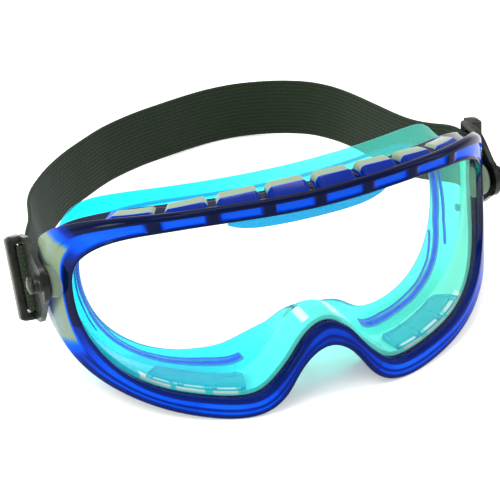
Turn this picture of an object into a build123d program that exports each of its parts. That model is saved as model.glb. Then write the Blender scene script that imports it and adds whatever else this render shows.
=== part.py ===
from build123d import *
import os
from math import asin, cos, degrees, radians, sin, sqrt

# Safety goggles, millimetres. Everything is drawn upright first: X to the wearer's left, Y towards
# the wearer, Z up, with Y = 0 at the middle of the front. rest() then leans the goggles back so
# that they stand on the two lower lobes, the edge of the seal and the back of the strap.

# Resting pose
LEAN_BACK = 10.1                      # degrees
REST_SHIFT = (0.0, -88.54, 30.34)     # brings the lowest points to Z = 0 and the middle to Y = 0

# Plan of the front: a flat arc across both eyes, then a tighter arc round each temple
FRONT_RADIUS = 128.0
TEMPLE_RADIUS = 68.0
TEMPLE_START = 46.0                   # half width where the tighter arc begins
TEMPLE_END_ANGLE = 75.0               # degrees round the tighter arc
BACK_REACH = 140.0

# Frame
FRAME_REAR_Y, FRAME_REAR_RADIUS = 18.0, 109.0
LIP_DEPTH = 2.6
GROOVE_DEPTH = 2.4
LENS_THICKNESS = 2.0
LENS_OVERLAP = 1.8                    # how far the lens runs under the lip
FIT_GAP = 0.15
CAVITY_GROW = 0.9
BOSS_RADIUS, BOSS_FACE = 6.0, 85.9

# Upright outlines in X and Z, right half from the top centre round to the nose
APERTURE = [(0, 46), (30, 46), (55, 43.8), (70, 38.5), (78.2, 29), (79.8, 18), (78, 4), (71, -8.5),
            (59, -16.3), (46, -19.8), (33, -22), (26, -21.4), (19.3, -16.5), (13, -9), (7, -1.6), (0, 1.5)]
OUTLINE = [(0, 52.3), (30, 52), (55, 50.3), (71.5, 46.4), (81.2, 39.8), (85, 31), (85.5, 20), (85, 4),
           (82.5, -7.7), (77.5, -14), (69, -19.6), (57, -24.6), (44, -28.2), (32, -29.9), (24, -28.6),
           (16.5, -23.4), (9.5, -12.8), (0, -7.8)]
LEDGE_OUTLINE = [(0, 48.6), (30, 48.2), (55, 46.3), (69.5, 42.8), (79.4, 37), (84.4, 28.6)] + OUTLINE[6:]
SEAL_OUTER = [(0, 47.1), (35, 46.2), (50, 45), (60, 43.4), (68.5, 40), (73.4, 34), (76, 26), (77, 15), (76, 3),
              (73, -6), (67, -14), (57, -19.4), (46, -21.5), (36, -21.9), (27, -21.1), (18, -18), (9, -14.6),
              (0, -12.8)]
SEAL_INNER = [(0, 40.5), (34, 40), (51, 38), (62, 33), (68.5, 24), (70.3, 11), (68.5, 0), (65.5, -6.5),
              (60, -12.5), (53, -16.6), (45, -18.8), (37, -19.4), (29, -18.2), (20, -14), (10, -10.2), (0, -8.5)]

# Face seal
FACE_Y, FACE_RADIUS = 39.0, 114.0
PLUG_DEPTH = 3.0
PLUG_GAP = 0.15
PLUG_WALL = 2.0
FLANGE_THICKNESS = 3.0

# Vents: ribs cross the top bar at this pitch, and a louvre stands between each pair
RIB_PITCH = 18.4
TOP_LOUVRES = 8
LOUVRE_LENGTH = 15.6
LEDGE_DEPTH = 3.2                     # thickness of the front wall above the ledge
COVER_FRONT, COVER_REAR = 3.4, 14.0   # how far the hoods start and the cover ends behind the front
COVER_HALF = 75.0
COVER_THICKNESS = 1.4
LOUVRE_TOP, LOUVRE_DROOP = 54.3, 3.3  # height in the middle, and the fall from there to 46 mm out
VENT_HOLES = (-46.0, -27.6, -9.2, 9.2, 27.6, 46.0)
BAFFLE_HALF, BAFFLE_FRONT, BAFFLE_THICKNESS, BAFFLE_LOW = 32.0, 9.0, 1.5, 38.5
LOW_VENT_SPAN = (30.6, 64.6)
LOW_VENT_FRONT, LOW_VENT_REAR = 5.15, 17.0
LOW_VENT_SLOTS = [(32.4, 41.0), (43.0, 52.6), (54.6, 63.0)]
LOW_SLOT_FRONT, LOW_SLOT_REAR = 5.6, 7.8

# Pivot
PIVOT_Y, PIVOT_Z = 48.0, 19.0
PIN_RADIUS, PIN_INNER, PIN_OUTER = 2.0, 83.2, 93.6
PIN_HEAD_RADIUS, PIN_HEAD = 3.4, 1.8
RUNNING_GAP = 0.06
COLLAR_RADIUS, COLLAR_FACE = 4.6, 87.3

# Outrigger, in its own frame: out along X, back from the pivot, up across the strap
CLIP_TILT = {-1: 16.0, 1: -2.0}       # degrees that each clip hangs down at rest
PLATE_INNER, PLATE_OUTER = 87.4, 89.4
HUB_RADIUS, HUB_BARREL = 7.5, 4.3
CLIP_HALF = 15.5
SLOT_HALF = 12.9
SLOT_FRONT, SLOT_REAR = 12.4, 17.0
CLIP_REAR = 21.0
BAR_FRONT, BAR_REAR, BAR_INNER, BAR_OUTER = 16.2, 22.0, 91.6, 94.4

# Strap
STRAP_WIDTH, STRAP_THICKNESS = 24.0, 1.6

# Seal studs
STUD_Y, STUD_Z = 54.5, 6.0
STUD_HEAD_RADIUS, STUD_RADIUS = 1.7, 0.9
STUD_INNER, STUD_HEAD, STUD_TIP = 77.2, 1.0, 83.2


def mirrored(half):
    """Whole outline from its right half, which starts and ends on the middle line."""
    return half + [(-x, z) for x, z in half[-2:0:-1]]


def grown(points, amount):
    """Each point moved outwards, square to the chord between its neighbours."""
    out = []
    count = len(points)
    for i, (x, z) in enumerate(points):
        ax, az = points[i - 1]
        bx, bz = points[(i + 1) % count]
        length = sqrt((bx - ax) ** 2 + (bz - az) ** 2)
        out.append((x - (bz - az) / length * amount, z + (bx - ax) / length * amount))
    return out


def prism(half, amount=0.0):
    """The outline, grown by amount, run straight from front to back."""
    points = grown(mirrored(half), amount)
    wire = Spline(*[(x, 0, z) for x, z in points], periodic=True)
    return extrude(make_face(wire), BACK_REACH, dir=(0, 1, 0))


def plan_prism(edges):
    """Region behind a plan curve, run through the whole height."""
    return extrude(make_face(edges), 200, dir=(0, 0, 1)).translate((0, 0, -100))


def temple_point(angle, depth, centre):
    reach = TEMPLE_RADIUS - depth
    return centre[0] + reach * sin(angle), centre[1] - reach * cos(angle)


def temple_centre():
    start = asin(TEMPLE_START / FRONT_RADIUS)
    gap = FRONT_RADIUS - TEMPLE_RADIUS
    return gap * sin(start), FRONT_RADIUS - gap * cos(start)


def behind_front(depth, setback=0.0):
    """All that lies more than depth inside the front surface, moved back by setback."""
    start, end = asin(TEMPLE_START / FRONT_RADIUS), radians(TEMPLE_END_ANGLE)
    reach = FRONT_RADIUS - depth
    join = (reach * sin(start), FRONT_RADIUS - reach * cos(start))
    centre = temple_centre()
    middle = temple_point((start + end) / 2, depth, centre)
    last = temple_point(end, depth, centre)
    edges = [ThreePointArc((-join[0], join[1]), (0, depth), join)]
    for side in (1, -1):
        edges.append(ThreePointArc((side * join[0], join[1]), (side * middle[0], middle[1]),
                                   (side * last[0], last[1])))
        edges.append(Line((side * last[0], last[1]), (side * last[0], BACK_REACH)))
    edges.append(Line((last[0], BACK_REACH), (-last[0], BACK_REACH)))
    return plan_prism(edges).translate((0, setback, 0))


def behind_arc(start_y, radius, half_width=95.0):
    """All that lies behind one arc, as the back of the frame or the wearer's face."""
    edge_y = start_y + radius - sqrt(radius ** 2 - half_width ** 2)
    edges = [ThreePointArc((-half_width, edge_y), (0, start_y), (half_width, edge_y)),
             Line((half_width, edge_y), (half_width, BACK_REACH)),
             Line((half_width, BACK_REACH), (-half_width, BACK_REACH)),
             Line((-half_width, BACK_REACH), (-half_width, edge_y))]
    return plan_prism(edges)


def front_y(x):
    """Plan depth of the front surface at a half width of up to the temple arc."""
    if abs(x) <= TEMPLE_START:
        return FRONT_RADIUS - sqrt(FRONT_RADIUS ** 2 - x ** 2)
    centre = temple_centre()
    return centre[1] - sqrt(TEMPLE_RADIUS ** 2 - (abs(x) - centre[0]) ** 2)


def span_box(x_low, x_high, y_low, y_high, z_low, z_high):
    size = (x_high - x_low, y_high - y_low, z_high - z_low)
    return Box(*size).translate((x_low + size[0] / 2, y_low + size[1] / 2, z_low + size[2] / 2))


def side_cylinder(side, radius, inner, outer, y, z):
    """A cylinder along X on one side, between two distances from the middle plane."""
    rod = Rot(0, 90, 0) * Cylinder(radius, outer - inner)
    return rod.translate((side * (inner + outer) / 2, y, z))


def rest(shape):
    return shape.rotate(Axis.X, -LEAN_BACK).translate(REST_SHIFT)


def below_ground():
    """What the goggles rest on, in the upright frame."""
    ground = Box(240, 240, 40).translate((0, 0, -20))
    return ground.translate([-move for move in REST_SHIFT]).rotate(Axis.X, LEAN_BACK)


def louvre_centres():
    first = -(TOP_LOUVRES - 1) / 2
    return [(first + i) * RIB_PITCH for i in range(TOP_LOUVRES)]


def louvre_top(x):
    return LOUVRE_TOP - LOUVRE_DROOP * (x / 46) ** 2


def make_frame():
    body = prism(OUTLINE) & behind_front(0)
    body -= behind_arc(FRAME_REAR_Y, FRAME_REAR_RADIUS)
    above_ledge = behind_front(LEDGE_DEPTH) & span_box(-90, 90, 0, 90, 28, 60)
    body -= above_ledge - prism(LEDGE_OUTLINE)
    body -= below_ground()
    for side in (1, -1):
        body += side_cylinder(side, BOSS_RADIUS, 82.6, BOSS_FACE, PIVOT_Y, PIVOT_Z)
    body -= prism(APERTURE)
    groove = behind_front(LIP_DEPTH) - behind_front(LIP_DEPTH + GROOVE_DEPTH)
    body -= prism(APERTURE, LENS_OVERLAP + FIT_GAP) & groove
    body -= prism(APERTURE, CAVITY_GROW) & behind_front(LIP_DEPTH + GROOVE_DEPTH)
    for x in VENT_HOLES:
        y = front_y(x)
        body -= span_box(x - 5.5, x + 5.5, y + 9.0, y + 12.0, 42, 60)
    for side in (1, -1):
        for low, high in LOW_VENT_SLOTS:
            slot = span_box(min(side * low, side * high), max(side * low, side * high), 0, 60, -40, -10)
            body -= slot & (behind_front(LOW_SLOT_FRONT) - behind_front(LOW_SLOT_REAR))
        body -= side_cylinder(side, PIN_RADIUS, PIN_INNER - 0.2, 95, PIVOT_Y, PIVOT_Z)
        body -= side_cylinder(side, STUD_RADIUS, 76, STUD_TIP + 0.2, STUD_Y, STUD_Z)
    return body


def make_lens():
    start = LIP_DEPTH + (GROOVE_DEPTH - LENS_THICKNESS) / 2
    return prism(APERTURE, LENS_OVERLAP) & (behind_front(start) - behind_front(start + LENS_THICKNESS))


def make_face_seal():
    """Collar to the face, a flange on the frame's rear and a plug inside the frame."""
    inside = prism(APERTURE, CAVITY_GROW - PLUG_GAP)
    lining = prism(APERTURE, CAVITY_GROW - PLUG_GAP - PLUG_WALL)
    flange_front = behind_arc(FRAME_REAR_Y + 0.05, FRAME_REAR_RADIUS)
    flange_rear = behind_arc(FRAME_REAR_Y + FLANGE_THICKNESS, FRAME_REAR_RADIUS)
    open_middle = prism(SEAL_INNER) & lining
    seal = ((prism(SEAL_OUTER) - prism(SEAL_INNER)) & flange_front) - behind_arc(FACE_Y, FACE_RADIUS)
    seal += ((inside - lining) & behind_arc(FRAME_REAR_Y - PLUG_DEPTH, FRAME_REAR_RADIUS)) - flange_rear
    for outer in (inside, prism(SEAL_OUTER)):
        seal += ((outer & flange_front) - flange_rear) - open_middle
    for side in (1, -1):
        seal -= side_cylinder(side, STUD_RADIUS, 70, STUD_TIP, STUD_Y, STUD_Z)
        seal -= side_cylinder(side, STUD_HEAD_RADIUS + 0.2, 60, STUD_INNER + STUD_HEAD, STUD_Y, STUD_Z)
    return seal


def make_louvre(x):
    """A hood that climbs from the bar's front wall to an open mouth at the back."""
    turn = TEMPLE_START / FRONT_RADIUS if abs(x) > TEMPLE_START else abs(x) / FRONT_RADIUS
    if abs(x) > TEMPLE_START:
        turn = (abs(x) - temple_centre()[0]) / TEMPLE_RADIUS
    top = louvre_top(x)
    base = top - 8
    profile = Polyline((COVER_FRONT, base), (COVER_FRONT, top - 2.9), (COVER_FRONT + 4.4, top), (12.4, top),
                       (12.4, top - 1.3), (COVER_FRONT + 5.0, top - 1.5), (COVER_FRONT + 3.2, base), close=True)
    hood = extrude(make_face(Plane.YZ * profile), LOUVRE_LENGTH / 2, both=True)
    return hood.rotate(Axis.Z, degrees(asin(turn)) * (1 if x > 0 else -1)).translate((x, front_y(x), 0))


def make_top_vent_cover():
    cover = prism(LEDGE_OUTLINE, COVER_THICKNESS) - prism(LEDGE_OUTLINE, 0.05)
    cover = cover & (behind_front(LEDGE_DEPTH + 0.05) - behind_front(0, COVER_REAR))
    cover = cover & span_box(-COVER_HALF, COVER_HALF, 0, 60, 38, 60)
    taken = prism(LEDGE_OUTLINE, 0.05)
    wall = behind_front(0) - behind_front(LEDGE_DEPTH + 0.05)
    for x in louvre_centres():
        cover += make_louvre(x) - taken - wall
    for x in VENT_HOLES:
        y = front_y(x)
        cover -= span_box(x - 5.5, x + 5.5, y + 9.4, y + 12.0, 42, 50.6)
    return cover


def make_vent_baffle():
    strip = behind_front(0, BAFFLE_FRONT) - behind_front(0, BAFFLE_FRONT + BAFFLE_THICKNESS)
    return strip & prism(APERTURE, CAVITY_GROW - 0.05) & span_box(-BAFFLE_HALF, BAFFLE_HALF, 0, 60, BAFFLE_LOW, 50)


def make_bottom_vent(side):
    low, high = sorted((side * LOW_VENT_SPAN[0], side * LOW_VENT_SPAN[1]))
    vent = prism(APERTURE, CAVITY_GROW - 0.05) - prism(APERTURE, CAVITY_GROW - 1.8)
    vent = vent & (behind_front(LOW_VENT_FRONT) - behind_front(0, LOW_VENT_REAR))
    vent = vent & span_box(low, high, 0, 60, -40, 0)
    vent -= behind_arc(FRAME_REAR_Y - PLUG_DEPTH - 0.2, FRAME_REAR_RADIUS)
    ring = behind_front(LOW_SLOT_FRONT) - behind_front(LOW_SLOT_REAR)
    for near, far in LOW_VENT_SLOTS:
        x_low, x_high = sorted((side * near, side * far))
        vent -= span_box(x_low, x_high, 0, 60, -40, 0) & ring
    return vent


def make_pin(side):
    pin = side_cylinder(side, PIN_RADIUS, PIN_INNER, PIN_OUTER, PIVOT_Y, PIVOT_Z)
    return pin + side_cylinder(side, PIN_HEAD_RADIUS, PIN_OUTER - PIN_HEAD, PIN_OUTER, PIVOT_Y, PIVOT_Z)


def make_collar(side):
    ring = side_cylinder(side, COLLAR_RADIUS, BOSS_FACE + 0.05, COLLAR_FACE, PIVOT_Y, PIVOT_Z)
    return ring - side_cylinder(side, PIN_RADIUS + 0.02, 80, 95, PIVOT_Y, PIVOT_Z)


def clip_to_upright(side, shape):
    """Clip frame (X out, Y back, Z up, origin on the pivot) to the upright frame."""
    placed = shape.rotate(Axis.X, -CLIP_TILT[side]).translate((0, PIVOT_Y, PIVOT_Z))
    return placed if side > 0 else placed.mirror(Plane.YZ)


def make_outrigger(side):
    outline = Polyline((0, -HUB_RADIUS), (SLOT_FRONT - 8, -CLIP_HALF + 3), (SLOT_FRONT - 3, -CLIP_HALF),
                       (CLIP_REAR, -CLIP_HALF), (CLIP_REAR, CLIP_HALF), (SLOT_FRONT - 3, CLIP_HALF),
                       (SLOT_FRONT - 8, CLIP_HALF - 3), (0, HUB_RADIUS), close=True)
    plate = extrude(make_face(Plane.YZ * outline), PLATE_OUTER - PLATE_INNER, dir=(1, 0, 0))
    plate = plate.translate((PLATE_INNER, 0, 0))
    plate += side_cylinder(1, HUB_RADIUS, PLATE_INNER, PLATE_OUTER, 0, 0)
    plate -= span_box(80, 100, SLOT_FRONT, SLOT_REAR, -SLOT_HALF, SLOT_HALF)
    plate += side_cylinder(1, HUB_BARREL, PLATE_INNER, PIN_OUTER - PIN_HEAD - 0.1, 0, 0)
    plate -= side_cylinder(1, PIN_RADIUS + RUNNING_GAP, 80, 100, 0, 0)
    bar = span_box(BAR_INNER, BAR_OUTER, BAR_FRONT, BAR_REAR, -CLIP_HALF, CLIP_HALF)
    bar = fillet(bar.edges().filter_by(Axis.Z).group_by(Axis.X)[-1], 1.2)
    for end in (1, -1):
        low, high = sorted((end * (SLOT_HALF + 0.2), end * CLIP_HALF))
        bar += span_box(PLATE_OUTER - 0.5, BAR_OUTER - 1.2, BAR_FRONT, CLIP_REAR, low, high)
    return clip_to_upright(side, plate + bar)


def clip_station(side, out, back):
    """Strap centre point and its across direction where the strap follows the clip."""
    tilt = radians(CLIP_TILT[side])
    point = Vector(side * out, PIVOT_Y + back * cos(tilt), PIVOT_Z - back * sin(tilt))
    return point, Vector(0, sin(tilt), cos(tilt))


def strap_end(side):
    """From the loose tail, through the slot and round the post, to the run behind the clip."""
    folds = [(90.5, 26), (90.45, 22), (90.4, 18.1), (90.1, 15.8), (88.95, 14.8), (87.85, 14.8),
             (86.7, 15.8), (86.35, 18.1), (86.1, 22)]
    return [clip_station(side, out, back) for out, back in folds]


# Centre line of the strap round the back of the head, from the wearer's right to the left, with
# how far its upper edge leans outwards in degrees
STRAP_ROUTE = [(-84.6, 76, 12.6, 3), (-81.4, 82.5, 13, 6), (-78.2, 89.5, 13, 8), (-75.8, 97.5, 13, 9),
               (-73.8, 106, 13, 8), (-70.8, 114.5, 13, 6), (-66, 123, 13, 5), (-59, 133, 13, 4),
               (-50, 143, 13, 3), (-41, 151, 13, 2), (-27.5, 161.3, 13, 1), (-12.5, 168.6, 13, 0),
               (2, 173, 13, 0), (15, 176.2, 13, 0), (26, 177.6, 13, 0), (38, 176.6, 13, 0), (51.5, 171.5, 13, 0),
               (62, 163.8, 13, 0), (68, 155, 13, 1), (72, 144.5, 13, 1), (74.8, 131.5, 13, 2),
               (77, 117.5, 13.2, 3), (78.4, 106, 13.8, 4), (79.8, 96, 14.9, 5), (81.8, 86, 16.8, 4),
               (84.6, 76, 19.0, 2)]


def strap_stations():
    middle = []
    for x, y, z, lean in STRAP_ROUTE:
        outwards = 1 if x > 0 else -1
        middle.append((Vector(x, y, z), Vector(outwards * sin(radians(lean)), 0, cos(radians(lean)))))
    return strap_end(-1) + middle + strap_end(1)[::-1]


def make_strap():
    stations = strap_stations()
    sections = []
    for i, (point, across) in enumerate(stations):
        before = stations[max(i - 1, 0)][0]
        after = stations[min(i + 1, len(stations) - 1)][0]
        forward = across.cross((after - before).normalized()).cross(across)
        plane = Plane(origin=point, x_dir=across, z_dir=forward)
        sections.append(plane * Rectangle(STRAP_WIDTH, STRAP_THICKNESS))
    return loft(sections, ruled=True)


def make_seal_studs():
    studs = []
    for side in (1, -1):
        stud = side_cylinder(side, STUD_RADIUS - 0.03, STUD_INNER, STUD_TIP, STUD_Y, STUD_Z)
        stud += side_cylinder(side, STUD_HEAD_RADIUS, STUD_INNER, STUD_INNER + STUD_HEAD, STUD_Y, STUD_Z)
        studs.append(stud)
    return Compound(studs)


def write_part(name, shape):
    export_step(rest(shape), f"parts/{name}.step")


os.makedirs("parts", exist_ok=True)
write_part("frame", make_frame())
write_part("lens", make_lens())
write_part("face_seal", make_face_seal())
write_part("top_vent_cover", make_top_vent_cover())
write_part("vent_baffle", make_vent_baffle())
write_part("seal_studs", make_seal_studs())
write_part("strap", make_strap())
for side_name, side_sign in (("left", -1), ("right", 1)):
    write_part(f"bottom_vent_{side_name}", make_bottom_vent(side_sign))
    write_part(f"pivot_pin_{side_name}", make_pin(side_sign))
    write_part(f"pivot_collar_{side_name}", make_collar(side_sign))
    write_part(f"outrigger_{side_name}", make_outrigger(side_sign))
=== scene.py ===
import bpy
import bmesh
import math
import numpy as np
from mathutils import Matrix, Vector

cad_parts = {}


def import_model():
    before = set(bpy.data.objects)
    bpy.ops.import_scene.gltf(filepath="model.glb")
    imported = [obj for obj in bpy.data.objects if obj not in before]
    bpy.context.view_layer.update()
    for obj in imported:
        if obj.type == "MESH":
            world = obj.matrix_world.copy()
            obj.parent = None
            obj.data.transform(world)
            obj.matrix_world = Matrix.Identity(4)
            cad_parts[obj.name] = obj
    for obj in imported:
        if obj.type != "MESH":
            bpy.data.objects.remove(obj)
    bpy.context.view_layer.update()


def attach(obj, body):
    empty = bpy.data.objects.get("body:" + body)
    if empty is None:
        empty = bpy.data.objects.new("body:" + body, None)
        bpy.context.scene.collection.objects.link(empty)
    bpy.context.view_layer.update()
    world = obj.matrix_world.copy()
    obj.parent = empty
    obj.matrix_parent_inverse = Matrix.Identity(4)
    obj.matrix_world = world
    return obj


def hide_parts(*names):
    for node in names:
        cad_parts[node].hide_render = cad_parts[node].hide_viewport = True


# Safety goggles. Shapes are worked out upright in millimetres, X across, Y from the lens towards the
# wearer, Z up, with the middle of the front at Y = 0, and world() leans them back onto the floor.

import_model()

# How the goggles stand: leaned back about X, then moved so that their lowest points are on the floor
LEAN = math.radians(10.1)
REST_SHIFT = (0.0, -88.54, 30.34)

# Plan radii of the front, the frame's back and the rim at the face
FRONT_RADIUS, TEMPLE_RADIUS, TEMPLE_START = 128.0, 68.0, 46.0
FRAME_REAR_Y, FRAME_REAR_RADIUS = 18.0, 109.0
FACE_Y, FACE_RADIUS = 39.0, 114.0

# The front lip, the groove behind it and the lens in the groove. Reaches are out from the opening.
LIP_DEPTH, GROOVE_DEPTH, GROOVE_REACH, CAVITY_GROW = 2.6, 2.4, 1.95, 0.9
LENS_OVERLAP, LENS_SETBACK, LENS_THICKNESS = 1.8, 0.2, 2.0
LEDGE_DEPTH = 3.2                           # how far the ledge for the vents lies behind the front

# Half outlines seen from the front, from the middle of the top round to the middle of the nose arch
APERTURE = [(0, 46), (30, 46), (55, 43.8), (70, 38.5), (78.2, 29), (79.8, 18), (78, 4), (71, -8.5),
            (59, -16.3), (46, -19.8), (33, -22), (26, -21.4), (19.3, -16.5), (13, -9), (7, -1.6), (0, 1.5)]
OUTLINE = [(0, 52.3), (30, 52), (55, 50.3), (71.5, 46.4), (81.2, 39.8), (85, 31), (85.5, 20), (85, 4),
           (82.5, -7.7), (77.5, -14), (69, -19.6), (57, -24.6), (44, -28.2), (32, -29.9), (24, -28.6),
           (16.5, -23.4), (9.5, -12.8), (0, -7.8)]
LEDGE_OUTLINE = [(0, 48.6), (30, 48.2), (55, 46.3), (69.5, 42.8), (79.4, 37), (84.4, 28.6)] + OUTLINE[6:]
SEAL_OUTER = [(0, 47.1), (35, 46.2), (50, 45), (60, 43.4), (68.5, 40), (73.4, 34), (76, 26), (77, 15),
              (76, 3), (73, -6), (67, -14), (57, -19.4), (46, -21.5), (36, -21.9), (27, -21.1), (18, -18),
              (9, -14.6), (0, -12.8)]
SEAL_INNER = [(0, 40.5), (34, 40), (51, 38), (62, 33), (68.5, 24), (70.3, 11), (68.5, 0), (65.5, -6.5),
              (60, -12.5), (53, -16.6), (45, -18.8), (37, -19.4), (29, -18.2), (20, -14), (10, -10.2),
              (0, -8.5)]
RING_STEPS, SOFT_SPAN = 480, 5              # sections round the ring, and those averaged on each side
OUTLINE_STEPS = 900                         # points on each of the other outlines

# Raised ribs of the seal: the half width of each as a share of the skirt, and its line of points
# (share of the ring from the nose, share of the way to the face)
SEAL_RIBS = [(0.05, [(0.075, 0.48), (0.108, 0.60), (0.156, 0.62), (0.181, 0.72), (0.208, 0.95)]),
             (0.13, [(0.075, 0.38), (0.117, 0.44), (0.142, 0.42), (0.173, 0.50), (0.185, 0.55),
                     (0.221, 0.80), (0.30, 0.94)]),
             (0.06, [(0.205, 0.36), (0.225, 0.55), (0.265, 0.70), (0.31, 0.74)])]
NOSE_SLITS = [(-4.9, 1.0), (5.3, 1.0)]      # place across the nose and half width of each slit

# Top bar: pitch of its ribs and louvres, the thin cover on the ledge, the hoods and the brow baffle
RIB_PITCH, WINDOW_END = 18.4, 60.0
COVER_HALF, COVER_FRONT, COVER_REAR, COVER_RISE = 73.5, 3.3, 13.0, 1.4
LOUVRES, LOUVRE_LENGTH, LOUVRE_TOP, LOUVRE_DROP = 8, 15.6, 54.3, 3.3
BAFFLE_HALF, BAFFLE_FRONT, BAFFLE_REAR, BAFFLE_LOW, BAFFLE_HIGH = 31.8, 9.0, 10.5, 38.6, 46.7

# Low vents: slots in half widths, the ribs between them, and depths behind the front
LOW_SLOTS = [(32.4, 41.0), (43.0, 52.6), (54.6, 63.0)]
LOW_RIBS = [31.4, 42.0, 53.6, 63.8]
LOW_START, LOW_END = 30.8, 64.6
LOW_FRONT, LOW_SLOT_FRONT, LOW_SLOT_REAR, LOW_REAR = 5.2, 5.6, 7.8, 16.9

# Side pivots and clips: (Y, Z) of the pin, and how far each clip hangs down behind
PIVOT = (48.0, 19.0)
CLIP_TILT = {-1: math.radians(16.0), 1: math.radians(-2.0)}
CLIP_INNER, CLIP_OUTER, BAR_OUTER = 87.4, 89.4, 94.4
CLIP_HUB, CLIP_HALF, CLIP_CORNER = 7.5, 15.5, 1.5
SLOT_HALF, SLOT_CORNER, PLATE_EDGE = 12.9, 0.6, 0.45
SIDES = (("left", -1), ("right", 1))


# -------- shape helpers

def world(x, y, z):
    """Upright millimetres to metres where the goggles stand."""
    c, s = math.cos(LEAN), math.sin(LEAN)
    height = max(z * c - y * s + REST_SHIFT[2], 0.0)
    return Vector((x + REST_SHIFT[0], y * c + z * s + REST_SHIFT[1], height)) * 0.001


def mirrored(half):
    """Whole outline from its half, once round."""
    return half + [(-x, z) for x, z in half[-2:0:-1]]


def smooth_loop(half, count, grow=0.0):
    """Evenly spaced points on the closed cubic curve through an outline."""
    pts = np.array(mirrored(half), float)
    n = len(pts)
    if grow:
        chord = np.roll(pts, -1, 0) - np.roll(pts, 1, 0)
        chord /= np.linalg.norm(chord, axis=1)[:, None]
        pts = pts + np.stack([-chord[:, 1], chord[:, 0]], 1) * grow
    h = np.linalg.norm(np.roll(pts, -1, 0) - pts, axis=1)
    matrix, right = np.zeros((n, n)), np.zeros((n, 2))
    for i in range(n):
        j = (i + 1) % n
        matrix[i, i - 1] += h[i - 1]
        matrix[i, i] += 2 * (h[i - 1] + h[i])
        matrix[i, j] += h[i]
        right[i] = 6 * ((pts[j] - pts[i]) / h[i] - (pts[i] - pts[i - 1]) / h[i - 1])
    bend = np.linalg.solve(matrix, right)
    fine = []
    for i in range(n):
        j = (i + 1) % n
        for share in np.linspace(0, 1, 60, endpoint=False):
            u, w = share * h[i], (1 - share) * h[i]
            fine.append((bend[i] * w ** 3 + bend[j] * u ** 3) / (6 * h[i])
                        + (pts[i] / h[i] - bend[i] * h[i] / 6) * w + (pts[j] / h[i] - bend[j] * h[i] / 6) * u)
    fine = np.array(fine + fine[:1])
    run = np.concatenate([[0], np.cumsum(np.linalg.norm(np.diff(fine, axis=0), axis=1))])
    at = np.linspace(0, run[-1], count, endpoint=False)
    return np.stack([np.interp(at, run, fine[:, 0]), np.interp(at, run, fine[:, 1])], 1)


def outward(loop):
    """Unit normals of a closed loop, pointing out of it."""
    chord = np.roll(loop, -1, 0) - np.roll(loop, 1, 0)
    chord /= np.linalg.norm(chord, axis=1)[:, None]
    return np.stack([-chord[:, 1], chord[:, 0]], 1)


CROSSING_SLACK = 1.5


def reach(loop, normals, other, sign=0):
    """How far along each normal the other outline lies, at the nearest crossing. With sign 1 a
    crossing more than CROSSING_SLACK inside doesn't count."""
    a, b = other, np.roll(other, -1, 0)
    edge = b - a
    out = []
    for p, n in zip(loop, normals):
        cross = n[0] * edge[:, 1] - n[1] * edge[:, 0]
        cross = np.where(np.abs(cross) < 1e-12, 1e-12, cross)
        d = a - p
        s = (d[:, 0] * edge[:, 1] - d[:, 1] * edge[:, 0]) / cross
        q = (d[:, 0] * n[1] - d[:, 1] * n[0]) / cross
        ok = (q > -1e-6) & (q < 1 + 1e-6) & (s * sign >= -CROSSING_SLACK)
        s = s[ok]
        out.append(s[np.argmin(np.abs(s))] if len(s) else 0.0)
    return softened(np.array(out))


def softened(values):
    """Running mean round a closed list."""
    total = sum(np.roll(values, k) for k in range(-SOFT_SPAN, SOFT_SPAN + 1))
    return total / (2 * SOFT_SPAN + 1)


START = math.asin(TEMPLE_START / FRONT_RADIUS)
TEMPLE_X = (FRONT_RADIUS - TEMPLE_RADIUS) * math.sin(START)
TEMPLE_Y = FRONT_RADIUS - (FRONT_RADIUS - TEMPLE_RADIUS) * math.cos(START)


def front_y(x, depth=0.0):
    """Plan depth of the surface that lies depth inside the front."""
    x = abs(x)
    if x <= (FRONT_RADIUS - depth) * math.sin(START):
        return FRONT_RADIUS - math.sqrt((FRONT_RADIUS - depth) ** 2 - x * x)
    r = TEMPLE_RADIUS - depth
    return TEMPLE_Y - math.sqrt(max(r * r - (x - TEMPLE_X) ** 2, 4.0))


def front_normal(x):
    """Outward direction of the front in plan, as (x, y)."""
    if abs(x) <= TEMPLE_START:
        s = x / FRONT_RADIUS
    else:
        s = math.copysign(min((abs(x) - TEMPLE_X) / TEMPLE_RADIUS, 0.97), x)
    return Vector((s, -math.sqrt(1 - s * s)))


def arc_y(x, start, radius):
    """Plan depth of an arc that lies at start in the middle and bends back to the sides."""
    return start + radius - math.sqrt(radius * radius - min(abs(x), radius - 1) ** 2)


def rear_y(x):
    """Plan depth of the frame's back."""
    return arc_y(x, FRAME_REAR_Y, FRAME_REAR_RADIUS)


def face_y(x):
    """Plan depth of the rim that meets the face."""
    return arc_y(x, FACE_Y, FACE_RADIUS)


def rounded(corners, steps=4):
    """Polygon of (a, b, radius) with each corner turned into an arc of steps + 1 points."""
    out = []
    n = len(corners)
    for i, (a, b, radius) in enumerate(corners):
        p = Vector((a, b))
        before, after = Vector(corners[i - 1][:2]) - p, Vector(corners[(i + 1) % n][:2]) - p
        if radius <= 0:
            out.append(p)
            continue
        cut = min(radius, before.length * 0.45, after.length * 0.45)
        s, e = p + before.normalized() * cut, p + after.normalized() * cut
        for k in range(steps + 1):
            t = k / steps
            out.append(s * (1 - t) ** 2 + p * 2 * t * (1 - t) + e * t * t)
    return out


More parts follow.
